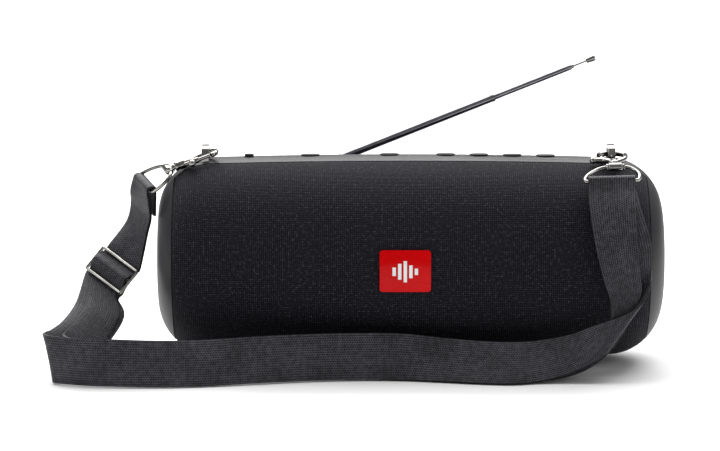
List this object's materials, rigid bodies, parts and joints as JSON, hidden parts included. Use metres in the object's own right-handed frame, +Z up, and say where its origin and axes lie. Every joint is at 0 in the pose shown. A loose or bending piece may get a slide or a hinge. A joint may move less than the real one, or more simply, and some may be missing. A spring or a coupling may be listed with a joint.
{
  "type": "portable tube speaker with radio",
  "caption": "Tube-shaped cloth-covered speaker with a top control strip, a telescopic antenna and a clipped webbing shoulder strap.",
  "frame": {"origin": "underside of the rubber foot, below the middle of the tube", "axes": "+X along the tube, to the right as seen from the front; -Y towards the front; +Z up"},
  "size_m": [0.2926, 0.1264, 0.1445],
  "materials": {
    "housing_plastic": "satin",
    "chassis_plastic": "matte",
    "grille_fabric": "woven",
    "panel_rubber": "soft satin",
    "stud_metal": "polished",
    "badge_red": "glossy",
    "badge_white": "glossy",
    "foot_rubber": "matte",
    "circuit_board": "satin",
    "cell_wrap": "glossy",
    "steel": "satin",
    "socket_plastic": "matte",
    "surround_rubber": "matte",
    "cone_paper": "matte",
    "radiator_metal": "brushed",
    "antenna_dark": "dark polished",
    "antenna_bright": "polished",
    "hook_chrome": "polished",
    "strap_webbing": "ribbed"
  },
  "bodies": {
    "speaker": {"chassis_front": "chassis_plastic", "chassis_rear": "chassis_plastic", "chassis_screws": "steel", "grille_fabric": "grille_fabric", "end_cap_left": "housing_plastic", "end_cap_right": "housing_plastic", "top_spine": "housing_plastic", "control_panel": "panel_rubber", "indicator_studs": "stud_metal", "button_board": "circuit_board", "badge_plate": "badge_red", "badge_bars": "badge_white", "foot_pad": "foot_rubber", "battery_tray": "chassis_plastic", "battery_cells": "cell_wrap", "main_board": "circuit_board", "port_bay": "housing_plastic", "usb_socket": "steel", "charge_socket": "steel", "card_socket": "steel", "aux_socket": "socket_plastic", "driver_frame_left": "steel", "driver_surround_left": "surround_rubber", "radiator_surround_left": "surround_rubber", "lug_left": "hook_chrome", "hook_left": "hook_chrome", "swivel_left": "hook_chrome", "ring_left": "hook_chrome", "driver_frame_right": "steel", "driver_surround_right": "surround_rubber", "radiator_surround_right": "surround_rubber", "lug_right": "hook_chrome", "hook_right": "hook_chrome", "swivel_right": "hook_chrome", "ring_right": "hook_chrome", "strap_webbing": "strap_webbing", "slide_adjuster": "hook_chrome"},
    "button_power": {"button_power": "panel_rubber"},
    "button_mode": {"button_mode": "panel_rubber"},
    "button_previous": {"button_previous": "panel_rubber"},
    "button_play": {"button_play": "panel_rubber"},
    "button_next": {"button_next": "panel_rubber"},
    "button_light": {"button_light": "panel_rubber"},
    "port_cover": {"port_cover": "panel_rubber"},
    "antenna_base": {"antenna_base": "antenna_dark", "antenna_pin": "antenna_dark"},
    "antenna_outer": {"antenna_outer_tube": "antenna_dark"},
    "antenna_middle": {"antenna_middle_tube": "antenna_dark"},
    "antenna_inner": {"antenna_inner_tube": "antenna_bright"},
    "antenna_tip": {"antenna_tip_rod": "antenna_bright"},
    "radiator_left": {"radiator_left": "radiator_metal"},
    "driver_cone_left": {"driver_cone_left": "cone_paper"},
    "radiator_right": {"radiator_right": "radiator_metal"},
    "driver_cone_right": {"driver_cone_right": "cone_paper"},
    "hook_bolt_left": {"hook_bolt_left": "hook_chrome"},
    "hook_bolt_right": {"hook_bolt_right": "hook_chrome"}
  },
  "joints": [
    {"name": "power_press", "type": "slide", "parent": "speaker", "child": "button_power", "axis": [0, 0, -1], "range_m": [0, 0.0008], "stiffness_N_per_m": 900, "springref_m": -0.0003},
    {"name": "mode_press", "type": "slide", "parent": "speaker", "child": "button_mode", "axis": [0, 0, -1], "range_m": [0, 0.0008], "stiffness_N_per_m": 900, "springref_m": -0.0003},
    {"name": "previous_press", "type": "slide", "parent": "speaker", "child": "button_previous", "axis": [0, 0, -1], "range_m": [0, 0.0008], "stiffness_N_per_m": 900, "springref_m": -0.0003},
    {"name": "play_press", "type": "slide", "parent": "speaker", "child": "button_play", "axis": [0, 0, -1], "range_m": [0, 0.0008], "stiffness_N_per_m": 900, "springref_m": -0.0003},
    {"name": "next_press", "type": "slide", "parent": "speaker", "child": "button_next", "axis": [0, 0, -1], "range_m": [0, 0.0008], "stiffness_N_per_m": 900, "springref_m": -0.0003},
    {"name": "light_press", "type": "slide", "parent": "speaker", "child": "button_light", "axis": [0, 0, -1], "range_m": [0, 0.0008], "stiffness_N_per_m": 900, "springref_m": -0.0003},
    {"name": "port_cover_hinge", "type": "hinge", "parent": "speaker", "child": "port_cover", "pos_m": [0, 0.0468, 0.0432], "axis": [-1, 0, 0], "range_deg": [0, 90]},
    {"name": "antenna_swivel", "type": "hinge", "parent": "speaker", "child": "antenna_base", "pos_m": [-0.0658, 0.0386, 0.0806], "axis": [0, -1, 0], "range_deg": [-21.7, 118.3]},
    {"name": "antenna_tilt", "type": "hinge", "parent": "antenna_base", "child": "antenna_outer", "pos_m": [-0.0658, 0.0386, 0.0806], "axis": [-0.3697, 0, 0.9291], "range_deg": [0, 90]},
    {"name": "antenna_middle_slide", "type": "slide", "parent": "antenna_outer", "child": "antenna_middle", "axis": [0.9291, 0, 0.3697], "range_m": [-0.04, 0.018]},
    {"name": "antenna_inner_slide", "type": "slide", "parent": "antenna_middle", "child": "antenna_inner", "axis": [0.9291, 0, 0.3697], "range_m": [-0.001, 0.052]},
    {"name": "antenna_tip_slide", "type": "slide", "parent": "antenna_inner", "child": "antenna_tip", "axis": [0.9291, 0, 0.3697], "range_m": [-0.006, 0.044]},
    {"name": "radiator_travel_left", "type": "slide", "parent": "speaker", "child": "radiator_left", "axis": [-1, 0, 0], "range_m": [-0.0002, 0.0015], "stiffness_N_per_m": 600},
    {"name": "cone_travel_left", "type": "slide", "parent": "speaker", "child": "driver_cone_left", "axis": [0, -1, 0], "range_m": [-0.0012, 0.0012], "stiffness_N_per_m": 900},
    {"name": "radiator_travel_right", "type": "slide", "parent": "speaker", "child": "radiator_right", "axis": [1, 0, 0], "range_m": [-0.0002, 0.0015], "stiffness_N_per_m": 600},
    {"name": "cone_travel_right", "type": "slide", "parent": "speaker", "child": "driver_cone_right", "axis": [0, -1, 0], "range_m": [-0.0012, 0.0012], "stiffness_N_per_m": 900},
    {"name": "hook_bolt_slide_left", "type": "slide", "parent": "speaker", "child": "hook_bolt_left", "axis": [-0.9358, -0.104, -0.3369], "range_m": [0, 0.0045], "stiffness_N_per_m": 400, "springref_m": -0.001},
    {"name": "hook_bolt_slide_right", "type": "slide", "parent": "speaker", "child": "hook_bolt_right", "axis": [0.0119, -0.9892, -0.1464], "range_m": [0, 0.0045], "stiffness_N_per_m": 400, "springref_m": -0.001}
  ]
}
